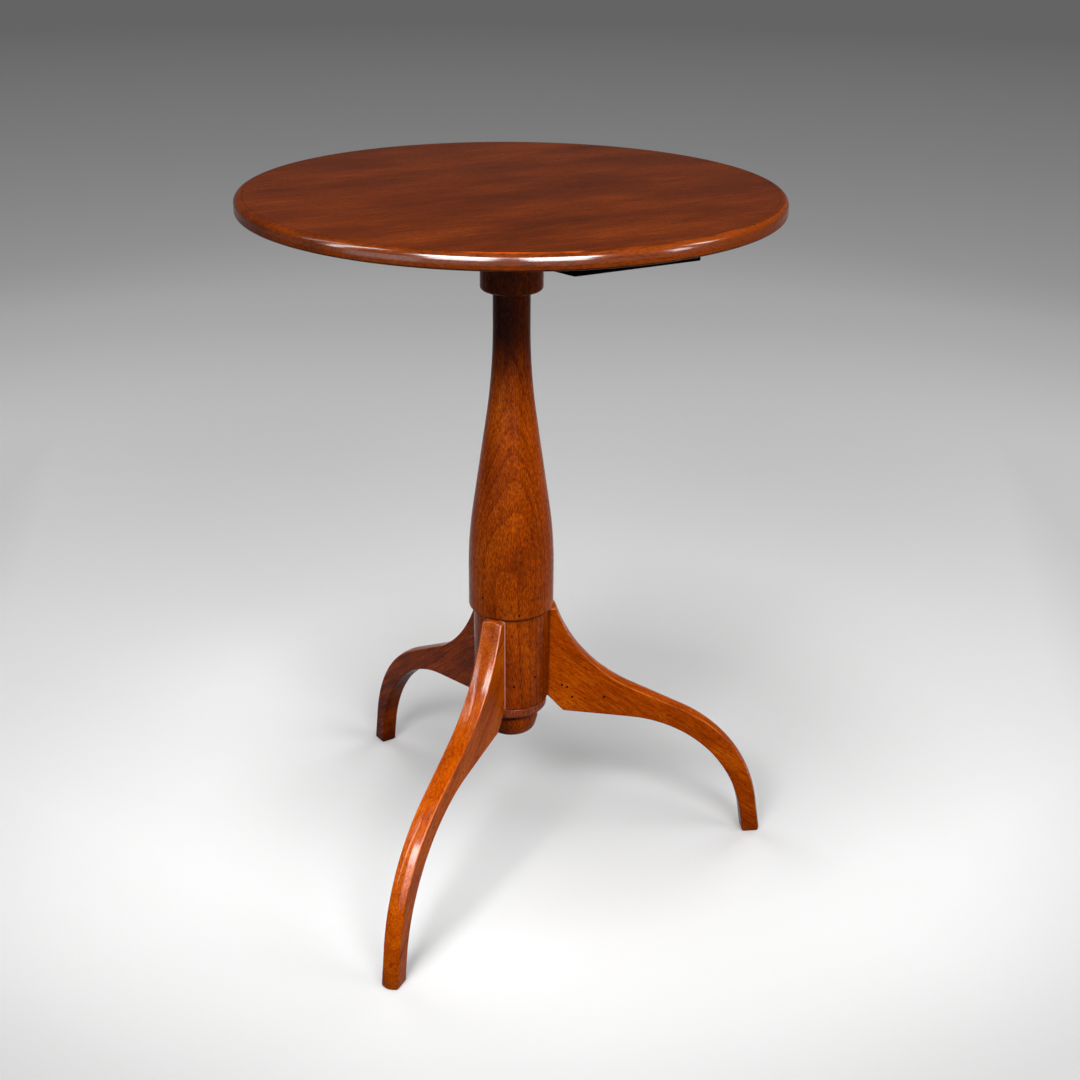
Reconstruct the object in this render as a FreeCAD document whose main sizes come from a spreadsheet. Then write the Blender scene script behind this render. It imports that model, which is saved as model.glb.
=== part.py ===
import FreeCAD, Part
import math
import os
import re
import Sketcher

# A wine table: a round top on a turned column with three curved legs, in millimetres, +Z up.
# The origin is on the floor under the column's axis, and the right leg points along +X.

SIZES = {
    # The round top
    "table_height": 720.0,
    "top_radius": 256.0,
    "top_thickness": 14.6,
    "rim_top_round": 6.2,
    "rim_bottom_round": 1.8,
    # The bearer under the top, which lies across the top's grain
    "bearer_length": 453.0,
    "bearer_width": 123.0,
    "bearer_thickness": 22.2,
    "bearer_end_thickness": 10.2,
    "bearer_flat_length": 212.0,
    "bearer_corner_round": 3.0,
    "bearer_angle": -67.4,
    # The screws that hold the bearer to the top, within its flat middle so that the top can shrink
    "screw_length": 30.0,
    "screw_shank_radius": 2.5,
    "screw_head_radius": 4.8,
    "screw_head_height": 2.6,
    "screw_point_length": 7.0,
    "screw_point_radius": 0.4,
    "screw_slot_width": 1.0,
    "screw_slot_depth": 1.2,
    "screw_fit": 0.1,
    "screw_end_inset": 14.0,
    "screw_side_inset": 21.0,
    "screw_collar_gap": 30.0,
    # The collar and the column's tenon, which passes through it into the bearer
    "collar_height": 58.7,
    "collar_radius": 30.5,
    "collar_edge_round": 3.5,
    "tenon_radius": 13.0,
    "tenon_fit": 0.1,
    "tenon_end_gap": 0.5,
    # The wedge in the tenon's end
    "wedge_length": 18.0,
    "wedge_head": 4.0,
    "wedge_tip": 1.2,
    "wedge_inset": 1.5,
    "wedge_fit": 0.05,
    # The turned column: straight at its neck and shoulder, with a swell between them.
    # The bends are the shares of the swell's length that its two curves take up
    "neck_radius": 18.3,
    "neck_length": 34.4,
    "neck_bend": 0.1841,
    "stem_overhang": 5.0,
    "stem_edge_round": 3.5,
    "shoulder_length": 43.8,
    "shoulder_bend": 0.1317,
    "block_radius": 38.7,
    "block_height": 105.0,
    # The cap under the column
    "cap_floor_gap": 145.5,
    "boss_height": 28.0,
    "boss_inset": 9.3,
    "boss_taper": 4.0,
    "boss_bottom_round": 9.0,
    "boss_taper_height": 15.0,
    "boss_taper_round": 9.0,
    "ring_height": 12.5,
    "ring_inset": 0.9,
    "ring_top_round": 2.0,
    "ring_bottom_round": 5.5,
    "spigot_radius": 11.0,
    "spigot_length": 30.0,
    "spigot_fit": 0.1,
    "spigot_end_gap": 2.0,
    # The legs, whose outline runs over the hollow and the knee to the foot, and back under the arch.
    # A run is how far a curve reaches along the lines on both sides of its corner
    "leg_width": 21.6,
    "leg_top_gap": 0.5,
    "ledge_length": 8.8,
    "leg_top_round": 2.5,
    "brow_straight": 11.7,
    "hollow_slope": 27.0,
    "hollow_rise": 33.7,
    "knee_height": 123.0,
    "knee_inset": 19.8,
    "knee_run": 82.6,
    "foot_reach": 280.3,
    "foot_length": 20.3,
    "foot_taper": 2.0,
    "foot_round": 2.0,
    "arch_inset": 21.2,
    "arch_rise": 14.0,
    "arch_run": 113.0,
    "heel_length": 16.8,
    "heel_drop": 19.3,
    "heel_round": 3.0,
    "ring_gap": 0.4,
    "arris_round": 1.6,
    # The dovetail tongues that hold the legs
    "tongue_depth": 15.0,
    "tongue_neck": 10.0,
    "tongue_tail": 14.0,
    "tongue_stop": 12.0,
    "tongue_fit": 0.1,
}

# Marks a corner whose curve is given by its run
RUN = "run"
LEG_COUNT = 3
LEGS = ["leg_right", "leg_back", "leg_front"]
NODES = ["top", "bearer", "bearer_screws", "collar", "column", "tenon_wedge", "base_cap"] + LEGS

# Heights and distances that several pieces share, as formulas of the sizes
BLOCK_BOTTOM = "(cap_floor_gap + boss_height + ring_height)"
BLOCK_TOP = f"({BLOCK_BOTTOM} + block_height)"
LEG_TOP = f"({BLOCK_TOP} - leg_top_gap)"
TOP_UNDERSIDE = "(table_height - top_thickness)"
BEARER_UNDERSIDE = f"({TOP_UNDERSIDE} - bearer_thickness)"
COLLAR_BOTTOM = f"({BEARER_UNDERSIDE} - collar_height)"
TENON_END = f"({TOP_UNDERSIDE} - tenon_end_gap)"
STEM_RADIUS = "(block_radius + stem_overhang)"
RING_RADIUS = "(block_radius - ring_inset)"
BOSS_RADIUS = f"({RING_RADIUS} - boss_inset)"
SWELL_START = f"({BLOCK_TOP} + shoulder_length)"
SWELL_END = f"({COLLAR_BOTTOM} - neck_length)"
SHOULDER_RUN = f"shoulder_bend * ({SWELL_END} - {SWELL_START})"
NECK_RUN = f"neck_bend * ({SWELL_END} - {SWELL_START})"
# The flats planed on the block are just as wide as the legs that stand on them
FLAT = "sqrt(block_radius ^ 2 - leg_width ^ 2 / 4)"
LEDGE_REACH = f"({FLAT} + ledge_length)"
HOLLOW_HEIGHT = f"({BLOCK_BOTTOM} + hollow_rise)"
HOLLOW_RUN = f"(sqrt(hollow_slope ^ 2 + ({LEG_TOP} - {HOLLOW_HEIGHT}) ^ 2) - brow_straight)"

doc = FreeCAD.newDocument("wine_table")
sheet = doc.addObject("Spreadsheet::Sheet", "sizes")
for row, (alias, value) in enumerate(SIZES.items(), start=1):
    sheet.set(f"A{row}", alias)
    sheet.set(f"B{row}", str(value))
    sheet.setAlias(f"B{row}", alias)
doc.recompute()


def formula(words):
    """An expression on the sheet: every name with an underscore is one of its sizes."""
    return re.sub(r"[a-z]+(?:_[a-z]+)+", r"sizes.\g<0>", words)


def measure(words):
    """The present value of a formula."""
    return float(sheet.evalExpression(formula(words)))


def bind(thing, prop, words):
    """Ties a property to a formula."""
    thing.setExpression(prop, formula(words))


def turn(thing, words):
    """Turns an object about the column's axis by an angle in degrees."""
    thing.Placement = FreeCAD.Placement(FreeCAD.Vector(), FreeCAD.Vector(0, 0, 1), measure(words))
    bind(thing, "Placement.Rotation.Angle", words)


def new_body(name):
    body = doc.addObject("PartDesign::Body", name)
    body.Label = name
    return body


def origin_feature(body, role):
    return next(part for part in body.Origin.OriginFeatures if part.Role == role)


def new_sketch(body, name, role, height="0"):
    """A sketch on one of the body's origin planes, raised along the plane's normal."""
    sketch = body.newObject("Sketcher::SketchObject", name)
    sketch.AttachmentSupport = [(origin_feature(body, role), "")]
    sketch.MapMode = "FlatFace"
    if height != "0":
        bind(sketch, "AttachmentOffset.Base.z", height)
    return sketch


def dimension(sketch, kind, places, words):
    """Adds a constraint whose value is a formula."""
    index = sketch.addConstraint(Sketcher.Constraint(kind, *places, measure(words)))
    bind(sketch, f"Constraints[{index}]", words)


def hold_point(sketch, piece, end, x, y):
    """Holds a point at formulas for its two coordinates; a plain 0 puts it on the axis."""
    vertical_axis = -2
    horizontal_axis = -1
    for kind, words, axis in (("DistanceX", x, vertical_axis), ("DistanceY", y, horizontal_axis)):
        if words == "0":
            sketch.addConstraint(Sketcher.Constraint("PointOnObject", piece, end, axis))
        else:
            dimension(sketch, kind, (-1, 1, piece, end), words)


def corner_arc(before, corner, after, size, by_run):
    """The arc that rounds a corner by a radius or a run, and whether it turns left along the outline."""
    back = (before - corner).normalize()
    on = (after - corner).normalize()
    half = back.getAngle(on) / 2
    run = size if by_run else size / math.tan(half)
    radius = run * math.tan(half)
    centre = corner + (back + on).normalize() * (radius / math.sin(half))
    start = corner + back * run
    end = corner + on * run
    turns_left = back.cross(on).z < 0
    first, last = (start, end) if turns_left else (end, start)
    angles = [math.atan2(point.y - centre.y, point.x - centre.x) for point in (first, last)]
    circle = Part.Circle(centre, FreeCAD.Vector(0, 0, 1), radius)
    return Part.ArcOfCircle(circle, angles[0], angles[1]), start, end, turns_left


def draw_outline(sketch, corners):
    """Draws a closed outline through corners (x, y), (x, y, radius) or (x, y, run, RUN), as formulas."""
    points = [FreeCAD.Vector(measure(corner[0]), measure(corner[1]), 0) for corner in corners]
    count = len(points)
    arcs = {}
    for i, corner in enumerate(corners):
        if len(corner) > 2:
            size = measure(corner[2])
            arcs[i] = corner_arc(points[i - 1], points[i], points[(i + 1) % count], size, RUN in corner)
    lines = []
    for i in range(count):
        after = (i + 1) % count
        start = arcs[i][2] if i in arcs else points[i]
        end = arcs[after][1] if after in arcs else points[after]
        lines.append(sketch.addGeometry(Part.LineSegment(start, end), False))
    for i, corner in enumerate(corners):
        if i not in arcs:
            sketch.addConstraint(Sketcher.Constraint("Coincident", lines[i - 1], 2, lines[i], 1))
            hold_point(sketch, lines[i], 1, corner[0], corner[1])
            continue
        arc, _, _, turns_left = arcs[i]
        bend = sketch.addGeometry(arc, False)
        point = sketch.addGeometry(Part.Point(points[i]), True)
        first, last = (1, 2) if turns_left else (2, 1)
        sketch.addConstraint(Sketcher.Constraint("Tangent", lines[i - 1], 2, bend, first))
        sketch.addConstraint(Sketcher.Constraint("Tangent", bend, last, lines[i], 1))
        sketch.addConstraint(Sketcher.Constraint("PointOnObject", point, 1, lines[i - 1]))
        sketch.addConstraint(Sketcher.Constraint("PointOnObject", point, 1, lines[i]))
        hold_point(sketch, point, 1, corner[0], corner[1])
        if RUN in corner:
            dimension(sketch, "Distance", (point, 1, bend, first), corner[2])
        else:
            dimension(sketch, "Radius", (bend,), corner[2])


def draw_circle(sketch, radius):
    """Draws a circle about the origin."""
    circle = Part.Circle(FreeCAD.Vector(), FreeCAD.Vector(0, 0, 1), measure(radius))
    piece = sketch.addGeometry(circle, False)
    sketch.addConstraint(Sketcher.Constraint("Coincident", piece, 3, -1, 1))
    dimension(sketch, "Radius", (piece,), radius)


def revolve(body, corners):
    """Turns an outline, given as radius and height, about the body's axis."""
    sketch = new_sketch(body, body.Label + "_profile", "XZ_Plane")
    draw_outline(sketch, corners)
    feature = body.newObject("PartDesign::Revolution", body.Label + "_turned")
    feature.Profile = sketch
    feature.ReferenceAxis = (sketch, ["V_Axis"])
    feature.Angle = 360.0
    doc.recompute()
    return feature


def pad(body, sketch, length, symmetric=False):
    feature = body.newObject("PartDesign::Pad", sketch.Label + "_pad")
    feature.Profile = sketch
    feature.SideType = "Symmetric" if symmetric else "One side"
    bind(feature, "Length", length)
    doc.recompute()
    return feature


def pocket(body, sketch, length=None):
    """Cuts a sketch upwards by a length, or right through on both sides, and sees that it cut."""
    before = body.Shape.Volume
    feature = body.newObject("PartDesign::Pocket", sketch.Label + "_cut")
    feature.Profile = sketch
    if length is None:
        feature.Type = "ThroughAll"
        feature.SideType = "Symmetric"
    else:
        feature.Reversed = True
        bind(feature, "Length", length)
    doc.recompute()
    if body.Shape.Volume >= before:
        raise RuntimeError(f"{feature.Label} cuts nothing")
    return feature


def make_top_board():
    body = new_body("top_board")
    revolve(body, [
        ("0", TOP_UNDERSIDE),
        ("top_radius", TOP_UNDERSIDE, "rim_bottom_round"),
        ("top_radius", "table_height", "rim_top_round"),
        ("0", "table_height"),
    ])
    return body


def make_bearer_board():
    """The bearer, along X before it is turned, with bevels under both ends."""
    body = new_body("bearer_board")
    plan = new_sketch(body, "bearer_plan", "XY_Plane", BEARER_UNDERSIDE)
    draw_outline(plan, [
        ("bearer_length / 2", "bearer_width / 2", "bearer_corner_round"),
        ("-bearer_length / 2", "bearer_width / 2", "bearer_corner_round"),
        ("-bearer_length / 2", "-bearer_width / 2", "bearer_corner_round"),
        ("bearer_length / 2", "-bearer_width / 2", "bearer_corner_round"),
    ])
    pad(body, plan, "bearer_thickness")
    thin_end = f"{TOP_UNDERSIDE} - bearer_end_thickness"
    clear_below = f"{BEARER_UNDERSIDE} - bearer_thickness"
    for side, sign in (("near", "-"), ("far", "")):
        bevel = new_sketch(body, f"bearer_{side}_bevel", "XZ_Plane")
        draw_outline(bevel, [
            (f"{sign}bearer_flat_length / 2", BEARER_UNDERSIDE),
            (f"{sign}bearer_length / 2", thin_end),
            (f"{sign}bearer_length", thin_end),
            (f"{sign}bearer_length", clear_below),
            (f"{sign}bearer_flat_length / 2", clear_below),
        ])
        pocket(body, bevel)
    bore = new_sketch(body, "bearer_bore", "XY_Plane", BEARER_UNDERSIDE)
    draw_circle(bore, "tenon_radius + tenon_fit")
    pocket(body, bore)
    turn(body, "bearer_angle")
    return body


def make_screw(name, x, y, fit, slotted):
    """One countersunk wood screw, point up, larger all round by a fit where it is a tool for its hole."""
    head = doc.addObject("Part::Cone", name + "_head")
    bind(head, "Radius1", f"screw_head_radius + {fit}")
    bind(head, "Radius2", f"screw_shank_radius + {fit}")
    bind(head, "Height", "screw_head_height")
    shank = doc.addObject("Part::Cylinder", name + "_shank")
    bind(shank, "Radius", f"screw_shank_radius + {fit}")
    bind(shank, "Height", "screw_length - screw_point_length")
    point = doc.addObject("Part::Cone", name + "_point")
    bind(point, "Radius1", f"screw_shank_radius + {fit}")
    bind(point, "Radius2", f"screw_point_radius + {fit}")
    bind(point, "Height", f"screw_point_length + {fit}")
    bind(point, "Placement.Base.z", "screw_length - screw_point_length")
    screw = doc.addObject("Part::MultiFuse", name + "_blank")
    screw.Shapes = [head, shank, point]
    screw.Refine = True
    if slotted:
        slot = doc.addObject("Part::Box", name + "_slot")
        bind(slot, "Length", "screw_head_radius * 4")
        bind(slot, "Width", "screw_slot_width")
        bind(slot, "Height", "screw_slot_depth * 2")
        bind(slot, "Placement.Base.x", "-screw_head_radius * 2")
        bind(slot, "Placement.Base.y", "-screw_slot_width / 2")
        bind(slot, "Placement.Base.z", "-screw_slot_depth")
        blank = screw
        screw = doc.addObject("Part::Cut", name)
        screw.Base = blank
        screw.Tool = slot
    bind(screw, "Placement.Base.x", x)
    bind(screw, "Placement.Base.y", y)
    bind(screw, "Placement.Base.z", BEARER_UNDERSIDE)
    return screw


def make_screw_group(name, fit, slotted):
    """All the screws in one object: a pair near each end of the bearer, and one each side of the collar."""
    inner_reach = "(collar_radius + screw_collar_gap)"
    outer_reach = "(bearer_flat_length / 2 - screw_end_inset)"
    spread = "(bearer_width / 2 - screw_side_inset)"
    places = [(sign + inner_reach, "0") for sign in ("", "-")]
    places += [(sign + outer_reach, side + spread) for sign in ("", "-") for side in ("", "-")]
    group = doc.addObject("Part::Compound", name)
    group.Label = name
    group.Links = [
        make_screw(f"{name}_{number}", x, y, fit, slotted)
        for number, (x, y) in enumerate(places, start=1)
    ]
    turn(group, "bearer_angle")
    return group


def cut_away(name, base, tool):
    part = doc.addObject("Part::Cut", name)
    part.Label = name
    part.Base = base
    part.Tool = tool
    doc.recompute()
    if part.Shape.Volume >= base.Shape.Volume:
        raise RuntimeError(f"{name} has no holes")
    return part


def make_collar():
    body = new_body("collar")
    bore = "tenon_radius + tenon_fit"
    revolve(body, [
        (bore, COLLAR_BOTTOM),
        ("collar_radius", COLLAR_BOTTOM, "collar_edge_round"),
        ("collar_radius", BEARER_UNDERSIDE),
        (bore, BEARER_UNDERSIDE),
    ])


def wedge_outline(fit):
    """The wedge's tapered side, or its slot where a fit is given."""
    return [
        (f"wedge_tip / 2 + {fit}", f"{TENON_END} - wedge_length"),
        (f"wedge_head / 2 + {fit}", TENON_END),
        (f"-(wedge_head / 2 + {fit})", TENON_END),
        (f"-(wedge_tip / 2 + {fit})", f"{TENON_END} - wedge_length"),
    ]


def make_column():
    """The column, turned in one piece, then slotted for its wedge and cut for the legs."""
    body = new_body("column")
    spigot_bore = "spigot_radius + spigot_fit"
    spigot_end = f"{BLOCK_BOTTOM} + spigot_length + spigot_end_gap"
    revolve(body, [
        (spigot_bore, BLOCK_BOTTOM),
        ("block_radius", BLOCK_BOTTOM),
        ("block_radius", BLOCK_TOP),
        (STEM_RADIUS, BLOCK_TOP, "stem_edge_round"),
        (STEM_RADIUS, f"{SWELL_START} + {SHOULDER_RUN}", SHOULDER_RUN, RUN),
        ("neck_radius", f"{SWELL_END} - {NECK_RUN}", NECK_RUN, RUN),
        ("neck_radius", COLLAR_BOTTOM),
        ("tenon_radius", COLLAR_BOTTOM),
        ("tenon_radius", TENON_END),
        ("0", TENON_END),
        ("0", spigot_end),
        (spigot_bore, spigot_end),
    ])
    slot = new_sketch(body, "wedge_slot", "XZ_Plane")
    slot.AttachmentOffset = FreeCAD.Placement(
        FreeCAD.Vector(), FreeCAD.Vector(0, 1, 0), measure("bearer_angle"))
    bind(slot, "AttachmentOffset.Rotation.Angle", "bearer_angle")
    draw_outline(slot, wedge_outline("wedge_fit"))
    pocket(body, slot)
    flat = new_sketch(body, "leg_flat", "XY_Plane", BLOCK_BOTTOM)
    draw_outline(flat, [
        (FLAT, "-block_radius"),
        ("block_radius * 2", "-block_radius"),
        ("block_radius * 2", "block_radius"),
        (FLAT, "block_radius"),
    ])
    flat_cut = pocket(body, flat, "block_height")
    socket = new_sketch(body, "leg_socket", "XY_Plane", BLOCK_BOTTOM)
    draw_outline(socket, [
        (f"{FLAT} - tongue_depth", "-tongue_tail / 2"),
        (FLAT, "-tongue_neck / 2"),
        ("block_radius * 2", "-tongue_neck / 2"),
        ("block_radius * 2", "tongue_neck / 2"),
        (FLAT, "tongue_neck / 2"),
        (f"{FLAT} - tongue_depth", "tongue_tail / 2"),
    ])
    socket_cut = pocket(body, socket, "block_height - tongue_stop")
    one_leg_volume = body.Shape.Volume
    pattern = body.newObject("PartDesign::PolarPattern", "leg_cuts")
    pattern.Originals = [flat_cut, socket_cut]
    pattern.Axis = (origin_feature(body, "Z_Axis"), [""])
    pattern.Angle = 360.0
    pattern.Occurrences = LEG_COUNT
    body.Tip = pattern
    doc.recompute()
    if body.Shape.Volume >= one_leg_volume:
        raise RuntimeError("the leg cuts are not repeated")


def make_tenon_wedge():
    body = new_body("tenon_wedge")
    side = new_sketch(body, "wedge_side", "XZ_Plane")
    draw_outline(side, wedge_outline("0"))
    pad(body, side, "2 * (tenon_radius - wedge_inset)", symmetric=True)
    turn(body, "bearer_angle")


def make_base_cap():
    body = new_body("base_cap")
    boss_top = "cap_floor_gap + boss_height"
    spigot_end = f"{BLOCK_BOTTOM} + spigot_length"
    revolve(body, [
        ("0", "cap_floor_gap"),
        (f"{BOSS_RADIUS} - boss_taper", "cap_floor_gap", "boss_bottom_round"),
        (BOSS_RADIUS, "cap_floor_gap + boss_taper_height", "boss_taper_round"),
        (BOSS_RADIUS, boss_top),
        (RING_RADIUS, boss_top, "ring_bottom_round"),
        (RING_RADIUS, BLOCK_BOTTOM, "ring_top_round"),
        ("spigot_radius", BLOCK_BOTTOM),
        ("spigot_radius", spigot_end),
        ("0", spigot_end),
    ])


def side_edges(shape):
    """The names of the edges along a leg's two side faces, without those on its shoulder."""
    shoulder = measure(FLAT)
    names = []
    for number, edge in enumerate(shape.Edges, start=1):
        faces = shape.ancestorsOfType(edge, Part.Face)
        normals = [face.normalAt(*face.Surface.parameter(edge.CenterOfMass)) for face in faces]
        on_side = any(abs(normal.y) > 0.9 for normal in normals)
        on_shoulder = all(abs(vertex.X - shoulder) < 0.01 for vertex in edge.Vertexes)
        if on_side and not on_shoulder:
            names.append(f"Edge{number}")
    return names


def make_leg(name, angle):
    """A leg, along +X before it is turned to its place, with its dovetail tongue."""
    body = new_body(name)
    side = new_sketch(body, f"{name}_side", "XZ_Plane")
    draw_outline(side, [
        (FLAT, BLOCK_BOTTOM),
        (f"{RING_RADIUS} + ring_gap", BLOCK_BOTTOM),
        (f"{RING_RADIUS} + ring_gap + heel_length", f"{BLOCK_BOTTOM} - heel_drop", "heel_round"),
        ("foot_reach - foot_length - arch_inset", "knee_height + arch_rise", "arch_run", RUN),
        ("foot_reach - foot_length", "0", "foot_round"),
        ("foot_reach", "0", "foot_round"),
        ("foot_reach - knee_inset", "knee_height", "knee_run", RUN),
        (f"{LEDGE_REACH} + hollow_slope", HOLLOW_HEIGHT, HOLLOW_RUN, RUN),
        (LEDGE_REACH, LEG_TOP, "leg_top_round"),
        (FLAT, LEG_TOP),
    ])
    pad(body, side, "leg_width", symmetric=True)
    for hand, sign in (("left", ""), ("right", "-")):
        taper = new_sketch(body, f"{name}_{hand}_taper", "XY_Plane")
        draw_outline(taper, [
            (FLAT, f"{sign}leg_width / 2"),
            ("foot_reach", f"{sign}(leg_width / 2 - foot_taper)"),
            ("foot_reach", f"{sign}leg_width"),
            (FLAT, f"{sign}leg_width"),
        ])
        blank = pocket(body, taper)
    arris = body.newObject("PartDesign::Fillet", f"{name}_arrises")
    arris.Base = (blank, side_edges(blank.Shape))
    bind(arris, "Radius", "arris_round")
    doc.recompute()
    tongue = new_sketch(body, f"{name}_tongue", "XY_Plane", BLOCK_BOTTOM)
    draw_outline(tongue, [
        (f"{FLAT} - tongue_depth + tongue_fit", "-(tongue_tail / 2 - tongue_fit)"),
        (FLAT, "-(tongue_neck / 2 - tongue_fit)"),
        (FLAT, "tongue_neck / 2 - tongue_fit"),
        (f"{FLAT} - tongue_depth + tongue_fit", "tongue_tail / 2 - tongue_fit"),
    ])
    pad(body, tongue, "block_height - tongue_stop - tongue_fit")
    body.Placement = FreeCAD.Placement(FreeCAD.Vector(), FreeCAD.Vector(0, 0, 1), angle)


screw_holes = make_screw_group("screw_holes", "screw_fit", slotted=False)
cut_away("top", make_top_board(), screw_holes)
cut_away("bearer", make_bearer_board(), screw_holes)
make_screw_group("bearer_screws", "0", slotted=True)
make_collar()
make_column()
make_tenon_wedge()
make_base_cap()
for number, leg_name in enumerate(LEGS):
    make_leg(leg_name, number * 360.0 / LEG_COUNT)
doc.recompute()

for thing in doc.Objects:
    if "Invalid" in thing.State or "Error" in thing.State:
        raise RuntimeError(f"{thing.Label} failed: {thing.State}")
os.makedirs("parts", exist_ok=True)
for node in NODES:
    shape = doc.getObject(node).Shape
    if shape.isNull() or not shape.isValid():
        raise RuntimeError(f"{node} has no valid shape")
    print(f"{node}: {len(shape.Solids)} solid(s), {shape.Volume / 1000:.1f} cm3")
for node in NODES:
    doc.getObject(node).Shape.exportStep(f"parts/{node}.step")
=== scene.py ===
import bmesh
import bpy
import math
from mathutils import Matrix, Vector


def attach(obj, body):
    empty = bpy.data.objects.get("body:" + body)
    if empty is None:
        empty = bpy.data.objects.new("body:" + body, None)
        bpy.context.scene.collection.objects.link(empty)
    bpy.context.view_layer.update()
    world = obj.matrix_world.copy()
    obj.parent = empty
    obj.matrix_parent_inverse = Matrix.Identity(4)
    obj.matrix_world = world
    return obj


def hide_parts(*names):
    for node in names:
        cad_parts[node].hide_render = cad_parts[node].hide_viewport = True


# A wine table in polished red-brown wood: the CAD frame, dressed with finer pieces of the same shape.
# Sizes are in millimetres, in the frame of the CAD model: +Z up, the right leg along +X.

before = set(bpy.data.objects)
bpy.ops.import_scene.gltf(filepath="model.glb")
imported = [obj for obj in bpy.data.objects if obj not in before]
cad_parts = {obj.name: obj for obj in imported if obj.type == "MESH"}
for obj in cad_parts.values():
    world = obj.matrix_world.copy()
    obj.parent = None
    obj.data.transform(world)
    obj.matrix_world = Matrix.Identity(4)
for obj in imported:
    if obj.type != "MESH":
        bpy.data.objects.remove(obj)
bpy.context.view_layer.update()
MM = 0.001

# The round top
TABLE_HEIGHT = 720.0
TOP_RADIUS = 256.0
TOP_THICKNESS = 14.6
RIM_TOP_ROUND = 6.2
RIM_BOTTOM_ROUND = 1.8
GRAIN_ANGLE = math.radians(22.6)
RUBBED_SIDE = math.radians(-74)
RUBBED_SPAN = math.radians(34)
LEAST_RUBBED = 0.1
# The bearer and the collar under the top
BEARER_THICKNESS = 22.2
COLLAR_HEIGHT = 58.7
COLLAR_RADIUS = 30.5
COLLAR_EDGE_ROUND = 3.5
TENON_RADIUS = 13.0
TENON_FIT = 0.1
TENON_END_GAP = 0.5
# The turned column
NECK_RADIUS = 18.3
NECK_LENGTH = 34.4
NECK_BEND = 0.1841
STEM_OVERHANG = 5.0
STEM_EDGE_ROUND = 3.5
SHOULDER_LENGTH = 43.8
SHOULDER_BEND = 0.1317
BLOCK_RADIUS = 38.7
BLOCK_HEIGHT = 105.0
# The cap under the column
CAP_FLOOR_GAP = 145.5
BOSS_HEIGHT = 28.0
BOSS_INSET = 9.3
BOSS_TAPER = 4.0
BOSS_TAPER_HEIGHT = 15.0
BOSS_BOTTOM_RUN = 6.9
BOSS_TAPER_RUN = 1.2
RING_HEIGHT = 12.5
RING_INSET = 0.9
RING_TOP_ROUND = 2.0
RING_BOTTOM_ROUND = 5.5
SPIGOT_RADIUS = 11.0
SPIGOT_LENGTH = 30.0
# The legs
LEG_WIDTH = 21.6
LEG_TOP_GAP = 0.5
LEDGE_LENGTH = 8.8
LEDGE_RUN = 1.7
BROW_STRAIGHT = 11.7
HOLLOW_SLOPE = 27.0
HOLLOW_RISE = 33.7
KNEE_HEIGHT = 123.0
KNEE_INSET = 19.8
KNEE_RUN = 82.6
FOOT_REACH = 280.3
FOOT_LENGTH = 20.3
FOOT_TAPER = 2.0
FOOT_ROUND = 2.2
ARCH_INSET = 21.2
ARCH_RISE = 14.0
ARCH_RUN = 113.0
HEEL_LENGTH = 16.8
HEEL_DROP = 19.3
HEEL_RUN = 1.1
RING_GAP = 0.4
ARRIS_ROUND = 1.8
LEG_CROWN = 1.8
LEGS = {"leg_right": 0.0, "leg_back": 120.0, "leg_front": 240.0}
# The pale line at this leg's joint with the block: partly old glue, partly a painted highlight on that
# corner
GLUE_AND_HIGHLIGHT_ON = "leg_front"
FIBRE_FALL = math.radians(-38)
# How far apart in the timber the legs' boards lie, for each degree between the legs
BOARD_STEP = (1.7, 0.4, 0.9)
# How much lighter, above 0, or darker the timber is: partly its own tone, and partly painted light and
# shade on the legs, on the rim's sides and lower round, and on the neck. The rim's side light is added
# towards the right
# Painted light and shade on each leg, by how the lamps fall on it: the front and right legs are made
# lighter, the back leg darker
LEG_PAINTED_LIGHT_AND_SHADE = {"leg_right": 0.06, "leg_back": -0.09, "leg_front": 0.12}
RIM_SHADE = 0.2
# Painted light on the rim's sides, lighter towards the right and darker towards the left, and painted shade
# on its lower round, which faces down
RIM_SIDE_PAINTED_LIGHT = 0.17
RIM_UNDERSIDE_PAINTED_SHADE = -0.15
# Painted shadow of the top on the column, darkening it towards the neck over a length in millimetres
NECK_PAINTED_SHADOW = -0.2
NECK_PAINTED_SHADOW_LENGTH = 85.0
BLOCK_SHADE = -0.08
BASE_CAP_SHADE = -0.06
FOOT_SHADE = -0.1
FOOT_SHADE_TOP = 120.0
# How much clear polish is left on the rim, on each leg's outer face, on the turnings and on the dull rest.
# A leg's polish fades between two shares of its length, and the rim's with its angle from the front
FRONT_SIDE = math.radians(-95)
RIM_POLISH = 0.9
LEAST_RIM_POLISH = 0.15
RIM_POLISH_FALL = 3
LEG_POLISH = {"leg_right": 0.12, "leg_back": 0.2, "leg_front": 0.62}
LEG_POLISHED_TO = 0.6
LEG_DULL_FROM = 0.82
STEM_POLISH = 0.04
BLOCK_POLISH = 0.05
RING_POLISH = 0.3
DULL_POLISH = 0.01

# Heights and distances that follow from these
BLOCK_BOTTOM = CAP_FLOOR_GAP + BOSS_HEIGHT + RING_HEIGHT
BLOCK_TOP = BLOCK_BOTTOM + BLOCK_HEIGHT
LEG_TOP = BLOCK_TOP - LEG_TOP_GAP
TOP_UNDERSIDE = TABLE_HEIGHT - TOP_THICKNESS
BEARER_UNDERSIDE = TOP_UNDERSIDE - BEARER_THICKNESS
COLLAR_BOTTOM = BEARER_UNDERSIDE - COLLAR_HEIGHT
STEM_RADIUS = BLOCK_RADIUS + STEM_OVERHANG
RING_RADIUS = BLOCK_RADIUS - RING_INSET
BOSS_RADIUS = RING_RADIUS - BOSS_INSET
FLAT = math.sqrt(BLOCK_RADIUS ** 2 - LEG_WIDTH ** 2 / 4)

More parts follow.
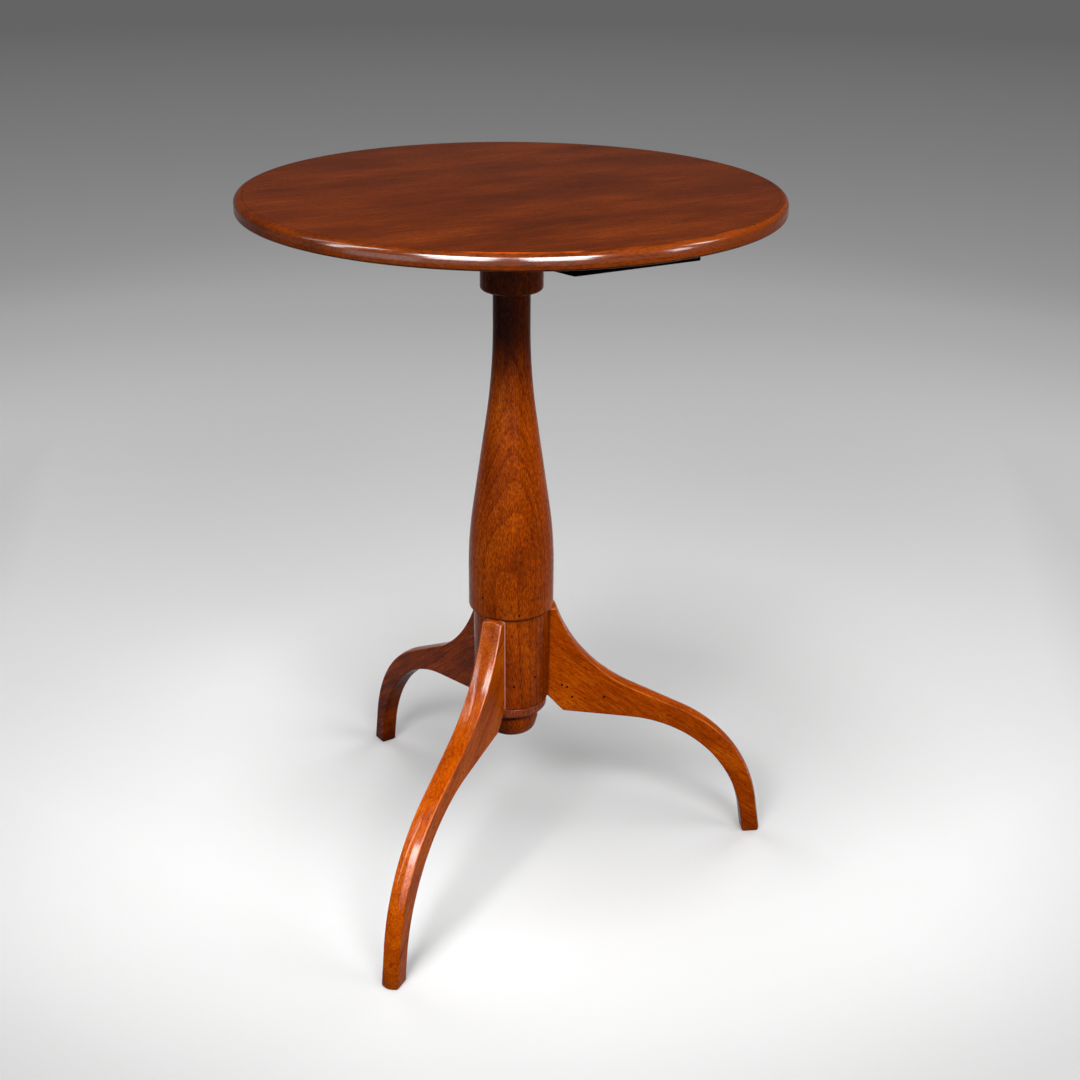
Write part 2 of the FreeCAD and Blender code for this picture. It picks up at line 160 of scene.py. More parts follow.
# How finely curves are drawn
ARC_STEP = math.radians(6)
CURVE_STEP = 6.0
TURNED_STEPS = 192
SHARP_ANGLE = math.radians(32)
# A distance that is too small to tell points apart
HAIR = 0.1


def round_corner(before, corner, after, run):
    """Points of the arc that rounds a corner, starting and ending a run away from it."""
    back = (before - corner).normalized()
    on = (after - corner).normalized()
    half = back.angle(on) / 2
    radius = run * math.tan(half)
    middle = (back + on).normalized()
    centre = corner + middle * (radius / math.sin(half))
    sweep = math.pi - 2 * half
    steps = max(math.ceil(sweep / ARC_STEP), math.ceil(radius * sweep / CURVE_STEP), 2)
    across = (on - back).normalized()
    angles = [sweep * (i / steps - 0.5) for i in range(steps + 1)]
    return [centre - middle * radius * math.cos(a) + across * radius * math.sin(a) for a in angles]


def outline(corners):
    """An open line through corners (x, y) or (x, y, run), with its rounded corners as points."""
    places = [Vector(corner[:2]) for corner in corners]
    points = []
    for i, corner in enumerate(corners):
        if len(corner) == 3:
            points += round_corner(places[i - 1], places[i], places[i + 1], corner[2])
        else:
            points.append(places[i])
    return points


def even_angles():
    return [math.tau * i / TURNED_STEPS for i in range(TURNED_STEPS)]


def turned(profile, angles, radius_at=None):
    """A mesh turned about the Z axis from an open profile (radius, height), listed from below upwards."""
    bm = bmesh.new()
    rings = []
    for radius, height in profile:
        if radius == 0:
            rings.append([bm.verts.new((0, 0, height))])
            continue
        ring = []
        for angle in angles:
            reach = radius_at(radius, height, angle) if radius_at else radius
            ring.append(bm.verts.new((reach * math.cos(angle), reach * math.sin(angle), height)))
        rings.append(ring)
    for lower, upper in zip(rings, rings[1:]):
        for i in range(len(angles)):
            j = (i + 1) % len(angles)
            if len(lower) == 1:
                bm.faces.new((lower[0], upper[j], upper[i]))
            elif len(upper) == 1:
                bm.faces.new((lower[i], lower[j], upper[0]))
            else:
                bm.faces.new((lower[i], lower[j], upper[j], upper[i]))
    return bm


def make_piece(name, bm, node, material, grain_of, wear_and_painted_highlight_of, polish_of, shade_of):
    """Turns a mesh in millimetres into a piece that stands for a CAD node.

    grain_of gives a point's place in the timber, with x along the fibres. wear_and_painted_highlight_of
    gives, for the number and place of a point, 2 on a pale line that is partly old glue and partly a
    painted highlight, 1 on an edge rubbed light, -1 on a line of dark grime, and 0 elsewhere. polish_of
    gives how much of the clear polish is left there, from 0 to 1. shade_of makes the timber lighter, above
    0, or darker there: partly its own tone, and partly painted light and shade.
    """
    bmesh.ops.recalc_face_normals(bm, faces=bm.faces)
    mesh = bpy.data.meshes.new(name)
    bm.to_mesh(mesh)
    bm.free()
    places = [vertex.co.copy() for vertex in mesh.vertices]
    mesh.transform(Matrix.Scale(MM, 4))
    mesh.shade_smooth()
    mesh.set_sharp_from_angle(angle=SHARP_ANGLE)
    grain = mesh.attributes.new("grain", "FLOAT_VECTOR", "POINT")
    grain.data.foreach_set("vector", [value for place in places for value in grain_of(place)])
    wear_and_painted_highlight = mesh.attributes.new("wear_and_painted_highlight", "FLOAT", "POINT")
    wear_and_painted_highlight.data.foreach_set("value", [float(wear_and_painted_highlight_of(i, place)) for i, place in enumerate(places)])
    polish = mesh.attributes.new("polish", "FLOAT", "POINT")
    polish.data.foreach_set("value", [float(polish_of(i, place)) for i, place in enumerate(places)])
    shades = mesh.attributes.new("shade", "FLOAT", "POINT")
    shades.data.foreach_set("value", [float(shade_of(place)) for place in places])
    mesh.materials.append(material)
    piece = bpy.data.objects.new(name, mesh)
    bpy.context.scene.collection.objects.link(piece)
    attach(piece, "root")
    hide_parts(node)
    return piece


def no_wear(number, place):
    return 0


def smooth_step(value, low, high):
    """0 below low, 1 above high, smooth between."""
    part = min(max((value - low) / (high - low), 0.0), 1.0)
    return part * part * (3 - 2 * part)


# Materials

class Nodes:
    """Short calls for the nodes of one material."""

    def __init__(self, name):
        self.material = bpy.data.materials.new(name)
        self.material.use_nodes = True
        self.tree = self.material.node_tree
        self.tree.nodes.clear()

    def add(self, kind, **settings):
        node = self.tree.nodes.new(kind)
        for key, value in settings.items():
            setattr(node, key, value)
        return node

    def put(self, socket, value):
        """Links a socket, or sets it to a plain value."""
        if isinstance(value, bpy.types.NodeSocket):
            self.tree.links.new(value, socket)
        else:
            socket.default_value = value

    def math(self, operation, first, second=0.0, clamp=False):
        node = self.add("ShaderNodeMath", operation=operation, use_clamp=clamp)
        self.put(node.inputs[0], first)
        self.put(node.inputs[1], second)
        return node.outputs[0]

    def vector(self, operation, first, second):
        node = self.add("ShaderNodeVectorMath", operation=operation)
        self.put(node.inputs[0], first)
        self.put(node.inputs[1], second)
        return node.outputs["Value" if operation in ("DISTANCE", "LENGTH") else "Vector"]

    def blend(self, parts):
        """A half, plus each part's distance from a half times its share."""
        total = 0.5
        for part, share in parts:
            offset = self.math("MULTIPLY", self.math("SUBTRACT", part, 0.5), share)
            total = self.math("ADD", offset, total)
        return total

    def noise(self, place, cell, detail=2.0, roughness=0.5):
        """Noise from 0 to 1 whose cells have a size in metres along and across the fibres."""
        scaled = self.vector("DIVIDE", place, cell)
        node = self.add("ShaderNodeTexNoise")
        self.put(node.inputs["Vector"], scaled)
        self.put(node.inputs["Scale"], 1.0)
        self.put(node.inputs["Detail"], detail)
        self.put(node.inputs["Roughness"], roughness)
        return node.outputs["Fac"]

    def ramp(self, value, low, high):
        """0 below low, 1 above high, smooth between."""
        node = self.add("ShaderNodeMapRange", interpolation_type="SMOOTHSTEP")
        self.put(node.inputs["Value"], value)
        self.put(node.inputs["From Min"], low)
        self.put(node.inputs["From Max"], high)
        return node.outputs["Result"]

    def colours(self, value, stops):
        """A colour ramp through (position, colour) stops."""
        node = self.add("ShaderNodeValToRGB")
        self.put(node.inputs["Fac"], value)
        elements = node.color_ramp.elements
        while len(elements) < len(stops):
            elements.new(1.0)
        for element, (position, colour) in zip(elements, stops):
            element.position = position
            element.color = (*colour, 1.0)
        return node.outputs["Color"]

    def levels(self, value, stops):
        """A grey ramp through (position, level) stops."""
        return self.colours(value, [(position, (level, level, level)) for position, level in stops])

    def mix(self, factor, first, second):
        """A mix of two colours, each a socket or a plain colour."""
        node = self.add("ShaderNodeMix", data_type="RGBA")
        self.put(node.inputs["Factor"], factor)
        for socket, colour in ((node.inputs["A"], first), (node.inputs["B"], second)):
            self.put(socket, colour if isinstance(colour, bpy.types.NodeSocket) else (*colour, 1.0))
        return node.outputs["Result"]

    def output(self, shader):
        node = self.add("ShaderNodeOutputMaterial")
        self.tree.links.new(shader, node.inputs["Surface"])
        return self.material


# The wood's small marks. Their sizes are in metres, along and across the fibres where three are given
FLECK_CELL = (0.0045, 0.0009, 0.0009)
DENT_CELL = (0.011, 0.005, 0.005)
RUBBED_CELL = (0.07, 0.05, 0.05)
UNEVEN_CELL = (0.25, 0.045, 0.045)
HOLE_RADIUS = 0.0010
HOLE_EDGE = 0.0016
BUMP_HEIGHT = 0.00003
PLAIN_STREAK_CELL = (0.05, 0.003, 0.003)
PLAIN_PORE_CELL = (0.008, 0.001, 0.001)
PLAIN_BUMP_HEIGHT = 0.0001
STEEL_GRIME_CELL = (0.003, 0.003, 0.003)
STEEL_BUMP_HEIGHT = 0.00005
# How strongly the marks show, and their colours
RING_UNEVENNESS = 2.5
RING_SHARPNESS = 4.0
GRIME_STRENGTH = 0.7
HOLE_DEPTH = 6.0
# The pale joint line's colour: old glue, with a painted highlight
GLUE_AND_HIGHLIGHT_COLOUR = (0.60, 0.34, 0.26)
HOLE_COLOUR = (0.012, 0.004, 0.002)
POLISH_ROUGHNESS = 0.15


def wood(name, tones, pore_colour, worn_colour, drift_size, streak_size, pith, ring_width, shares, gloss,
         sheen, polish_index, holes=()):
    """Polished hardwood with growth rings about a pith, streaks, fine dark pores and rubbed edges.

    tones are the timber's dark, middle and light colours. drift_size and streak_size are the length and
    width of its cloudy patches and of its streaks, and pith the place of the rings' centre across the
    fibres, in metres. shares say how strongly each kind of figure shows. sheen is the gloss of the bare
    wood, and polish_index the refraction index of its clear polish. holes are the places of worm holes on
    the table, in millimetres.
    """
    n = Nodes(name)
    place = n.add("ShaderNodeAttribute", attribute_name="grain").outputs["Vector"]
    drift_length, drift_width = drift_size
    drift = n.noise(place, (drift_length, drift_width, drift_width), detail=3.0)
    streak_length, streak_width = streak_size
    streak = n.noise(place, (streak_length, streak_width, streak_width), detail=4.0, roughness=0.65)
    fleck = n.noise(place, FLECK_CELL, detail=2.0, roughness=0.6)
    # The rings: distance from the pith across the fibres, made a little uneven. Each ends in a dark line
    across = n.vector("MULTIPLY", n.vector("SUBTRACT", place, (0.0, *pith)), (0.0, 1.0, 1.0))
    reach = n.vector("LENGTH", across, (0.0, 0.0, 0.0))
    uneven = n.noise(place, UNEVEN_CELL, detail=1.0)
    uneven = n.math("MULTIPLY", uneven, RING_UNEVENNESS)
    rings = n.math("ADD", n.math("DIVIDE", reach, ring_width), uneven)
    ring_line = n.math("POWER", n.math("FRACT", rings), RING_SHARPNESS)
    tone = n.blend([(drift, shares["drift"]), (streak, shares["streak"])])
    tone = n.math("SUBTRACT", tone, n.math("MULTIPLY", ring_line, shares["ring"]))
    # The shade attribute holds the timber's own tone together with painted light and shade
    tone = n.math("ADD", tone, n.add("ShaderNodeAttribute", attribute_name="shade").outputs["Fac"])
    dark, middle, light = tones
    colour = n.colours(tone, [(0.2, dark), (0.5, middle), (0.8, light)])
    pores = n.ramp(fleck, 0.48, 0.64)
    colour = n.mix(n.math("MULTIPLY", pores, shares["pores"]), colour, pore_colour)
    dents = n.ramp(n.noise(place, DENT_CELL, detail=2.0), 0.64, 0.72)
    colour = n.mix(n.math("MULTIPLY", dents, shares["dents"]), colour, pore_colour)
    wear_and_painted_highlight = n.add("ShaderNodeAttribute", attribute_name="wear_and_painted_highlight").outputs["Fac"]
    patchy = n.ramp(n.noise(place, RUBBED_CELL, detail=2.0), 0.38, 0.6)
    rubbed = n.math("MULTIPLY", n.ramp(wear_and_painted_highlight, 0.0, 1.0), n.ramp(streak, 0.3, 0.5))
    rubbed = n.math("MULTIPLY", rubbed, patchy)
    colour = n.mix(n.math("MULTIPLY", rubbed, shares["wear_and_painted_highlight"]), colour, worn_colour)
    colour = n.mix(n.math("MULTIPLY", n.ramp(wear_and_painted_highlight, 0.0, -1.0), GRIME_STRENGTH), colour, pore_colour)
    # The pale joint line: partly old glue, partly a painted highlight
    colour = n.mix(n.ramp(wear_and_painted_highlight, 1.2, 2.0), colour, GLUE_AND_HIGHLIGHT_COLOUR)
    height = n.blend([(streak, 0.5), (pores, -0.4), (dents, -1.5)])
    if holes:
        spot = n.add("ShaderNodeTexCoord").outputs["Object"]
        nearest = 1.0
        for hole in holes:
            away = n.vector("DISTANCE", spot, tuple(value * MM for value in hole))
            nearest = n.math("MINIMUM", away, nearest)
        bore = n.ramp(nearest, HOLE_EDGE, HOLE_RADIUS)
        colour = n.mix(bore, colour, HOLE_COLOUR)
        height = n.math("SUBTRACT", height, n.math("MULTIPLY", bore, HOLE_DEPTH))
    bump = n.add("ShaderNodeBump")
    n.put(bump.inputs["Height"], height)
    bump.inputs["Distance"].default_value = BUMP_HEIGHT
    shader = n.add("ShaderNodeBsdfPrincipled")
    n.put(shader.inputs["Base Color"], colour)
    uneven_gloss = n.blend([(streak, 0.15), (pores, 0.08)])
    n.put(shader.inputs["Roughness"], n.math("ADD", uneven_gloss, gloss - 0.5))
    n.put(shader.inputs["Normal"], bump.outputs["Normal"])
    shader.inputs["Specular IOR Level"].default_value = sheen
    polish = n.add("ShaderNodeAttribute", attribute_name="polish").outputs["Fac"]
    n.put(shader.inputs["Coat Weight"], polish)
    shader.inputs["Coat Roughness"].default_value = POLISH_ROUGHNESS
    shader.inputs["Coat IOR"].default_value = polish_index
    return n.output(shader.outputs["BSDF"])


TOP_WOOD = wood(
    "top_wood_polished", [(0.027, 0.0035, 0.0), (0.096, 0.0145, 0.0004), (0.205, 0.034, 0.0015)],
    pore_colour=(0.035, 0.005, 0.0005), worn_colour=(0.42, 0.060, 0.003),
    drift_size=(0.15, 0.055), streak_size=(0.045, 0.0026), pith=(0.06, -0.25), ring_width=0.012, gloss=0.22,
    sheen=0.045, polish_index=1.8,
    shares={"drift": 0.55, "streak": 0.65, "ring": 0.04, "pores": 0.55, "dents": 0.4, "wear_and_painted_highlight": 0.9})
TURNED_WOOD = wood(
    "turned_wood_polished", [(0.09, 0.009, 0.0), (0.34, 0.048, 0.0), (0.66, 0.140, 0.004)],
    pore_colour=(0.07, 0.007, 0.0), worn_colour=(0.5, 0.10, 0.004),
    drift_size=(0.08, 0.022), streak_size=(0.006, 0.0008), pith=(0.012, 0.08), ring_width=0.004, gloss=0.26,
    sheen=0.03, polish_index=1.5,
    shares={"drift": 0.5, "streak": 1.0, "ring": 0.14, "pores": 0.7, "dents": 0.25, "wear_and_painted_highlight": 0.7},
    holes=[(-31.4, -30.4, 313.2), (4.1, -43.5, 297.8), (22.2, -31.7, 220.5), (-0.4, -38.7, 213.6)])
LEG_WOOD = wood(
    "leg_wood_polished", [(0.09, 0.009, 0.0), (0.38, 0.051, 0.0), (0.70, 0.140, 0.003)],
    pore_colour=(0.10, 0.010, 0.0), worn_colour=(0.66, 0.16, 0.02),
    drift_size=(0.08, 0.022), streak_size=(0.024, 0.0009), pith=(0.05, 0.12), ring_width=0.009, gloss=0.22,
    sheen=0.02, polish_index=1.5,
    shares={"drift": 0.6, "streak": 1.0, "ring": 0.08, "pores": 0.5, "dents": 0.55, "wear_and_painted_highlight": 0.6},
    holes=[(53.2, -10.7, 198.0), (58.6, -10.6, 195.3), (64.2, -10.6, 182.9), (98.6, -10.3, 181.0)])


def plain_wood(name, dark, light, angle):
    """Plain matt timber on a flat CAD piece whose fibres lie at an angle to the X axis."""
    n = Nodes(name)
    spot = n.add("ShaderNodeTexCoord").outputs["Object"]
    turn = n.add("ShaderNodeMapping", vector_type="TEXTURE")
    n.put(turn.inputs["Vector"], spot)
    turn.inputs["Rotation"].default_value = (0.0, 0.0, angle)
    place = turn.outputs["Vector"]
    streak = n.noise(place, PLAIN_STREAK_CELL, detail=4.0, roughness=0.6)
    pores = n.ramp(n.noise(place, PLAIN_PORE_CELL), 0.55, 0.7)
    colour = n.colours(streak, [(0.3, dark), (0.7, light)])
    colour = n.mix(n.math("MULTIPLY", pores, 0.5), colour, tuple(value * 0.5 for value in dark))
    bump = n.add("ShaderNodeBump")
    n.put(bump.inputs["Height"], n.math("SUBTRACT", streak, n.math("MULTIPLY", pores, 0.5)))
    bump.inputs["Distance"].default_value = PLAIN_BUMP_HEIGHT
    shader = n.add("ShaderNodeBsdfPrincipled")
    n.put(shader.inputs["Base Color"], colour)
    n.put(shader.inputs["Roughness"], n.math("ADD", n.math("MULTIPLY", streak, 0.2), 0.45))
    n.put(shader.inputs["Normal"], bump.outputs["Normal"])
    shader.inputs["Specular IOR Level"].default_value = 0.0
    return n.output(shader.outputs["BSDF"])


def dull_steel():
    n = Nodes("screw_steel_dull")
    spot = n.add("ShaderNodeTexCoord").outputs["Object"]
    grime = n.noise(spot, STEEL_GRIME_CELL, detail=4.0, roughness=0.65)
    colour = n.colours(grime, [(0.35, (0.12, 0.10, 0.085)), (0.7, (0.36, 0.34, 0.31))])
    bump = n.add("ShaderNodeBump")
    n.put(bump.inputs["Height"], grime)
    bump.inputs["Distance"].default_value = STEEL_BUMP_HEIGHT
    shader = n.add("ShaderNodeBsdfPrincipled")
    shader.inputs["Metallic"].default_value = 1.0
    n.put(shader.inputs["Base Color"], colour)
    n.put(shader.inputs["Roughness"], n.math("ADD", n.math("MULTIPLY", grime, 0.3), 0.3))
    n.put(shader.inputs["Normal"], bump.outputs["Normal"])
    return n.output(shader.outputs["BSDF"])


# The turned pieces

def make_top():
    flat_edge = TOP_RADIUS - RIM_TOP_ROUND
    # Rings on the flat that hold its edge: a thin dark line just inside it, and its rubbed start
    line_outer = flat_edge - 0.8
    line_middle = flat_edge - 1.5
    line_inner = flat_edge - 2.4
    rubbed_width = 2.6
    # Rings on the rim's upright band, between which its polish ends
    polished_from = TABLE_HEIGHT - RIM_TOP_ROUND - 2.0
    dull_below = polished_from - 2.0
    line = outline([
        (0, TOP_UNDERSIDE),
        (line_outer, TOP_UNDERSIDE),
        (TOP_RADIUS, TOP_UNDERSIDE, RIM_BOTTOM_ROUND),
        (TOP_RADIUS, dull_below),
        (TOP_RADIUS, polished_from),
        (TOP_RADIUS, TABLE_HEIGHT, RIM_TOP_ROUND),
        (line_outer, TABLE_HEIGHT),
        (line_middle, TABLE_HEIGHT),
        (line_inner, TABLE_HEIGHT),
        (0, TABLE_HEIGHT),
    ])
    turn = Matrix.Rotation(-GRAIN_ANGLE, 3, "Z")

    def edge_wear(number, place):
        reach = place.xy.length
        if place.z < TABLE_HEIGHT - RIM_TOP_ROUND:
            return 0
        if abs(reach - line_middle) < HAIR:
            return -1
        if not 0 <= reach - flat_edge < rubbed_width:
            return 0
        off_rubbed = abs(math.remainder(math.atan2(place.y, place.x) - RUBBED_SIDE, math.tau))
        return max(LEAST_RUBBED, 1 - (off_rubbed / RUBBED_SPAN) ** 4)

    def rim_polish(number, place):
        if place.xy.length < flat_edge + rubbed_width / 2 or place.z < dull_below + HAIR:
            return DULL_POLISH
        off_front = math.remainder(math.atan2(place.y, place.x) - FRONT_SIDE, math.tau)
        return RIM_POLISH * max(LEAST_RIM_POLISH, math.cos(off_front) ** RIM_POLISH_FALL)

    def rim_tone_and_painted_light(place):
        # Painted shade on the rim's lower round, which faces down
        if place.z < TOP_UNDERSIDE + RIM_BOTTOM_ROUND - HAIR:
            return RIM_UNDERSIDE_PAINTED_SHADE
        if place.xy.length < flat_edge + rubbed_width:
            return 0
        # The rim's own lighter tone, with painted light added towards the right and painted shade towards
        # the left
        return RIM_SHADE + RIM_SIDE_PAINTED_LIGHT * place.x / TOP_RADIUS

    make_piece("top_board", turned(line, even_angles()), "top", TOP_WOOD,
               lambda place: (turn @ place) * MM, edge_wear, rim_polish, rim_tone_and_painted_light)


def upright_grain(place):
    """Fibres along the column: the height first, then the place across."""
    return Vector((place.z, place.x, place.y)) * MM


def make_collar():
    bore = TENON_RADIUS + TENON_FIT
    line = outline([
        (bore, COLLAR_BOTTOM),
        (COLLAR_RADIUS, COLLAR_BOTTOM, COLLAR_EDGE_ROUND),
        (COLLAR_RADIUS, BEARER_UNDERSIDE),
        (bore, BEARER_UNDERSIDE),
        (bore, COLLAR_BOTTOM),
    ])
    bm = turned(line, even_angles())
    bmesh.ops.remove_doubles(bm, verts=bm.verts, dist=0.001)
    make_piece("collar_turned", bm, "collar", TURNED_WOOD, upright_grain, no_wear,
               lambda number, place: STEM_POLISH, lambda place: 0)


def leg_flat_angles():
    """Angles round the column, with points at the edges of the flats that the legs stand on."""
    half = math.asin(LEG_WIDTH / 2 / BLOCK_RADIUS)
    flat_steps = 12
    round_steps = 52
    angles = []
    for leg in LEGS.values():
        start = math.radians(leg) - half
        angles += [start + 2 * half * i / flat_steps for i in range(flat_steps)]
        gap = math.tau / len(LEGS) - 2 * half
        angles += [start + 2 * half + gap * i / round_steps for i in range(round_steps)]
    return angles


def block_radius(radius, height, angle):
    """The column's radius, cut back to the flats where the legs stand against the block."""
    if radius != BLOCK_RADIUS:
        return radius
    off_leg = min(abs(math.remainder(angle - math.radians(leg), math.tau)) for leg in LEGS.values())
    return min(radius, FLAT / math.cos(off_leg))


def make_column():
    swell_start = BLOCK_TOP + SHOULDER_LENGTH
    swell_end = COLLAR_BOTTOM - NECK_LENGTH
    shoulder_run = SHOULDER_BEND * (swell_end - swell_start)
    neck_run = NECK_BEND * (swell_end - swell_start)
    tenon_end = TOP_UNDERSIDE - TENON_END_GAP
    # Rings near the block's lower edge hold a thin line of grime
    grime_middle = BLOCK_BOTTOM + 0.5
    grime_top = BLOCK_BOTTOM + 1.3
    line = outline([
        (0, BLOCK_BOTTOM),
        (BLOCK_RADIUS, BLOCK_BOTTOM),
        (BLOCK_RADIUS, grime_middle),
        (BLOCK_RADIUS, grime_top),
        (BLOCK_RADIUS, BLOCK_TOP),
        (STEM_RADIUS, BLOCK_TOP, STEM_EDGE_ROUND),
        (STEM_RADIUS, swell_start + shoulder_run, shoulder_run),
        (NECK_RADIUS, swell_end - neck_run, neck_run),
        (NECK_RADIUS, COLLAR_BOTTOM),
        (TENON_RADIUS, COLLAR_BOTTOM),
        (TENON_RADIUS, tenon_end),
        (0, tenon_end),
    ])

    def foot_grime(number, place):
        return -1 if place.z < grime_top - HAIR else 0

    def column_polish(number, place):
        return STEM_POLISH if place.z > BLOCK_TOP else BLOCK_POLISH

    def column_tone_and_painted_shadow(place):
        if place.z < BLOCK_TOP:
            return BLOCK_SHADE
        # Painted shadow of the top, darkening the column towards the neck
        return NECK_PAINTED_SHADOW * smooth_step(place.z, swell_end - NECK_PAINTED_SHADOW_LENGTH, swell_end)

    make_piece("column_turned", turned(line, leg_flat_angles(), block_radius), "column",
               TURNED_WOOD, upright_grain, foot_grime, column_polish, column_tone_and_painted_shadow)


def make_base_cap():
    boss_top = CAP_FLOOR_GAP + BOSS_HEIGHT
    spigot_end = BLOCK_BOTTOM + SPIGOT_LENGTH
    line = outline([
        (0, CAP_FLOOR_GAP),
        (BOSS_RADIUS - BOSS_TAPER, CAP_FLOOR_GAP, BOSS_BOTTOM_RUN),
        (BOSS_RADIUS, CAP_FLOOR_GAP + BOSS_TAPER_HEIGHT, BOSS_TAPER_RUN),
        (BOSS_RADIUS, boss_top),
        (RING_RADIUS, boss_top, RING_BOTTOM_ROUND),
        (RING_RADIUS, BLOCK_BOTTOM, RING_TOP_ROUND),
        (SPIGOT_RADIUS, BLOCK_BOTTOM),
        (SPIGOT_RADIUS, spigot_end),
        (0, spigot_end),
    ])

    def ring_wear_and_highlight(number, place):
        # The ring's upper round is made rubbed light: partly wear, partly a painted highlight where it
        # faces up
        high = place.z > BLOCK_BOTTOM - RING_TOP_ROUND
        outside = place.xy.length > RING_RADIUS - RING_TOP_ROUND
        return 1 if high and outside else 0

    def ring_polish(number, place):
        return RING_POLISH if place.z > boss_top + RING_BOTTOM_ROUND / 2 else DULL_POLISH

    make_piece("base_cap_turned", turned(line, even_angles()), "base_cap", TURNED_WOOD,
               upright_grain, ring_wear_and_highlight, ring_polish, lambda place: BASE_CAP_SHADE)


# The legs

def lengths(points):
    """How far along a line each point lies, as a share of the whole."""
    run = [0.0]
    for first, second in zip(points, points[1:]):
        run.append(run[-1] + (second - first).length)
    return [value / run[-1] for value in run]


def point_at(points, shares, share):
    """The point at a share of a line's length."""
    for i in range(1, len(shares)):
        if share <= shares[i] or i == len(shares) - 1:
            part = (share - shares[i - 1]) / (shares[i] - shares[i - 1])
            return points[i - 1].lerp(points[i], part)


def leg_lines():
    """A leg's outer line, over the hollow and the knee, and its inner line, under the arch."""
    ledge = Vector((FLAT + LEDGE_LENGTH, LEG_TOP))
    hollow = Vector((ledge.x + HOLLOW_SLOPE, BLOCK_BOTTOM + HOLLOW_RISE))
    knee = Vector((FOOT_REACH - KNEE_INSET, KNEE_HEIGHT))
    arch = Vector((FOOT_REACH - FOOT_LENGTH - ARCH_INSET, KNEE_HEIGHT + ARCH_RISE))
    heel = Vector((RING_RADIUS + RING_GAP + HEEL_LENGTH, BLOCK_BOTTOM - HEEL_DROP))
    toe = Vector((FOOT_REACH, 0))
    sole_back = Vector((FOOT_REACH - FOOT_LENGTH, 0))
    outer_end = toe.lerp(knee, FOOT_ROUND / knee.y)
    inner_end = sole_back.lerp(arch, FOOT_ROUND / arch.y)
    outer = outline([
        (FLAT, LEG_TOP),
        (*ledge, LEDGE_RUN),
        (*hollow, (hollow - ledge).length - BROW_STRAIGHT),
        (*knee, KNEE_RUN),
        tuple(outer_end),
    ])
    inner = outline([
        (FLAT, BLOCK_BOTTOM),
        (RING_RADIUS + RING_GAP, BLOCK_BOTTOM),
        (*heel, HEEL_RUN),
        (*arch, ARCH_RUN),
        tuple(inner_end),
    ])
    return outer, inner


def half_width(reach):
    return LEG_WIDTH / 2 - FOOT_TAPER * (reach - FLAT) / (FOOT_REACH - FLAT)


def leg_section(outer, inner, shrink, drop):
    """One ring of points round a leg: its crowned outer face, its sides and its inner face.

    shrink draws the ring in all round and drop lowers it, for the rounded edge of the sole.
    Returns the points with the surface that each is on: face, edge, or side, which the inner face is too.
    """
    face_steps = 6
    arris_steps = 5
    side_margin = 0.8
    along = (outer - inner).normalized()
    points = []

    def add(base, inward, offset, surface):
        spot = base - along * inward
        points.append((Vector((spot.x, offset, spot.y - drop)), surface))

    arris = [math.pi / 2 * i / arris_steps for i in range(arris_steps)]
    for base, sense, crown in ((outer, 1, LEG_CROWN), (inner, -1, 0.0)):
        face, edge = ("face", "edge") if sense > 0 else ("side", "side")
        half = half_width(base.x) - shrink
        flat_half = half - ARRIS_ROUND
        side = shrink + crown + ARRIS_ROUND
        add(base, sense * (side + side_margin), -sense * half, "side")
        for angle in arris:
            inward = side - ARRIS_ROUND * math.sin(angle)
            outward = flat_half + ARRIS_ROUND * math.cos(angle)
            add(base, sense * inward, -sense * outward, edge if angle else face)
        for i in range(face_steps + 1):
            part = 2 * i / face_steps - 1
            add(base, sense * (shrink + crown * part ** 2), sense * flat_half * part, face)
        for angle in reversed(arris):
            inward = side - ARRIS_ROUND * math.sin(angle)
            outward = flat_half + ARRIS_ROUND * math.cos(angle)
            add(base, sense * inward, sense * outward, edge if angle else face)
        add(base, sense * (side + side_margin), sense * half, "side")
    return points


